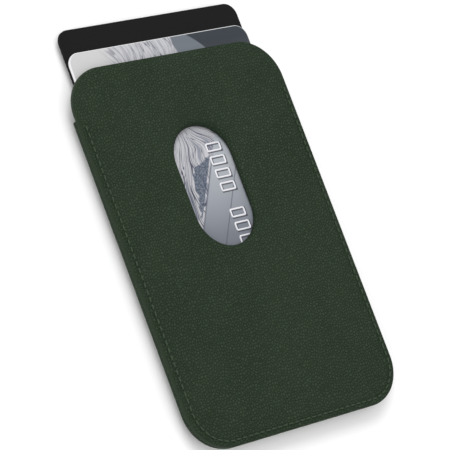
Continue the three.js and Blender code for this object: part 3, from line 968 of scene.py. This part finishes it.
def make_embossed_frames():
    """Blank embossed frames in a row, where a bank card has its number."""
    top = GRAY_CARD_TOP_Z - INLAY_PROUD
    vertices, faces = [], []
    for path in frame_paths():
        points, normals = path.samples(path.evenly(FRAME_SPACING, closed=True))
        first = sum(len(v) for v in vertices)
        for across, height in FRAME_PROFILE:
            offset = across * FRAME_STROKE
            vertices.append(lift(points + offset * normals, top + height * FRAME_HEIGHT))
        rings = grid_faces(len(FRAME_PROFILE), len(points), True, True, first)
        faces += [f[::-1] for f in rings]
    made = make_object("gray_card_blank_frames", np.concatenate(vertices), faces, embossing_material())
    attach(made, "gray_card")


# ---------- Materials of the CAD parts that stay ----------


def dress_cad_parts():
    magnet = metal_material("nickel_plate", srgb(150, 150, 148), srgb(196, 196, 192), 0.3)
    steel = metal_material("cold_rolled_steel", srgb(120, 122, 124), srgb(168, 170, 172), 0.42)
    kept = {
        "panel_lining": lining_material(),
        "magnet_carrier_board": board_material(),
        "shield_plate": steel,
        "gray_card_chip_plate": chip_material(),
        "gray_card_magnetic_stripe": stripe_material(),
    }
    kept["cover_lining"] = kept["panel_lining"]
    kept["cover_board"] = kept["rim_core"] = kept["magnet_carrier_board"]
    for name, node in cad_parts.items():
        if "_magnet_" in name:
            kept[name] = magnet
        if name in kept:
            node.data.materials.clear()
            node.data.materials.append(kept[name])


# ---------- Camera, light and floor ----------

CAMERA_AZIMUTH = math.radians(75.53)  # looking direction, clockwise from +Y
CAMERA_DROP = math.radians(49.88)  # below the horizon
CAMERA_ROLL = math.radians(58.20)  # the picture is turned this far from level
CAMERA_TARGET = Vector((-2.07, 3.43, 4.55)) * MM
CAMERA_DISTANCE = 642.2 * MM
CAMERA_LENS = 221.0  # millimetres, on the sensor below
CAMERA_SENSOR = 36.0
FLOOR_SIZE = 6.0
FLOOR_GAP = 0.05 * MM
STUDIO_BRIGHTNESS = 0.95
KEY_LIGHT = {"place": (-0.10, 0.85, 0.90), "size": 0.8, "watts": 7.0}
FILL_LIGHT = {"place": (-1.1, -0.25, 0.45), "size": 0.9, "watts": 5.0}


def make_camera():
    ahead = Vector((math.sin(CAMERA_AZIMUTH), math.cos(CAMERA_AZIMUTH), 0)) * math.cos(CAMERA_DROP)
    ahead.z = -math.sin(CAMERA_DROP)
    level = ahead.cross(Vector((0, 0, 1))).normalized()
    right = Matrix.Rotation(-CAMERA_ROLL, 3, ahead) @ level
    up = right.cross(ahead)
    data = bpy.data.cameras.new("camera")
    data.lens = CAMERA_LENS
    data.sensor_width = CAMERA_SENSOR
    data.clip_start, data.clip_end = 0.05, 20.0
    camera = bpy.data.objects.new("camera", data)
    camera.matrix_world = Matrix((right, up, -ahead)).transposed().to_4x4()
    camera.location = CAMERA_TARGET - ahead * CAMERA_DISTANCE
    bpy.context.scene.collection.objects.link(camera)
    bpy.context.scene.camera = camera


def make_area_light(name, place, size, watts):
    """A round lamp, size metres across, that faces the origin."""
    data = bpy.data.lights.new(name, "AREA")
    data.shape = "DISK"
    data.size = size
    data.energy = watts
    lamp = bpy.data.objects.new(name, data)
    lamp.location = place
    lamp.rotation_euler = (-Vector(place)).to_track_quat("-Z", "Y").to_euler()
    bpy.context.scene.collection.objects.link(lamp)


def make_stage():
    s = Shader("pale_floor", roughness=0.9, specular=0.1)
    paper = s.noise(0.02, detail=2.0)
    s.set("Base Color", s.mix(paper, (0.86, 0.86, 0.86, 1), (0.88, 0.88, 0.88, 1)))
    reach = FLOOR_SIZE / 2
    corners = [(-reach, -reach, 0), (reach, -reach, 0), (reach, reach, 0), (-reach, reach, 0)]
    floor = make_object("floor", corners, [[0, 1, 2, 3]], s.material)
    floor.location.z = -FLOOR_GAP
    floor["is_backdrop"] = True

    world = bpy.data.worlds.new("studio")
    world.use_nodes = True
    background = world.node_tree.nodes["Background"]
    background.inputs["Color"].default_value = (1, 1, 1, 1)
    background.inputs["Strength"].default_value = STUDIO_BRIGHTNESS
    bpy.context.scene.world = world
    make_area_light("key", **KEY_LIGHT)
    make_area_light("fill", **FILL_LIGHT)


make_camera()
make_panel_skin()
make_edge_bead()
make_cover_skin()
make_stitches("needle_stitches", "needle_thread", panel_seam_surface)
make_stitches("bobbin_stitches", "bobbin_thread", cover_seam_surface)
make_card("gray_card_sheet", "gray_card_body", "gray_card", gray_card_material())
make_card("black_card_sheet", "black_card_body", "black_card", black_card_material())
make_embossed_frames()
dress_cad_parts()
make_stage()
bpy.context.scene.view_settings.view_transform = "Standard"

sizes = {"cad": cad_bounds, "visual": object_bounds()}
{name: [list(corner) for corner in box] for name, box in sizes.items()}
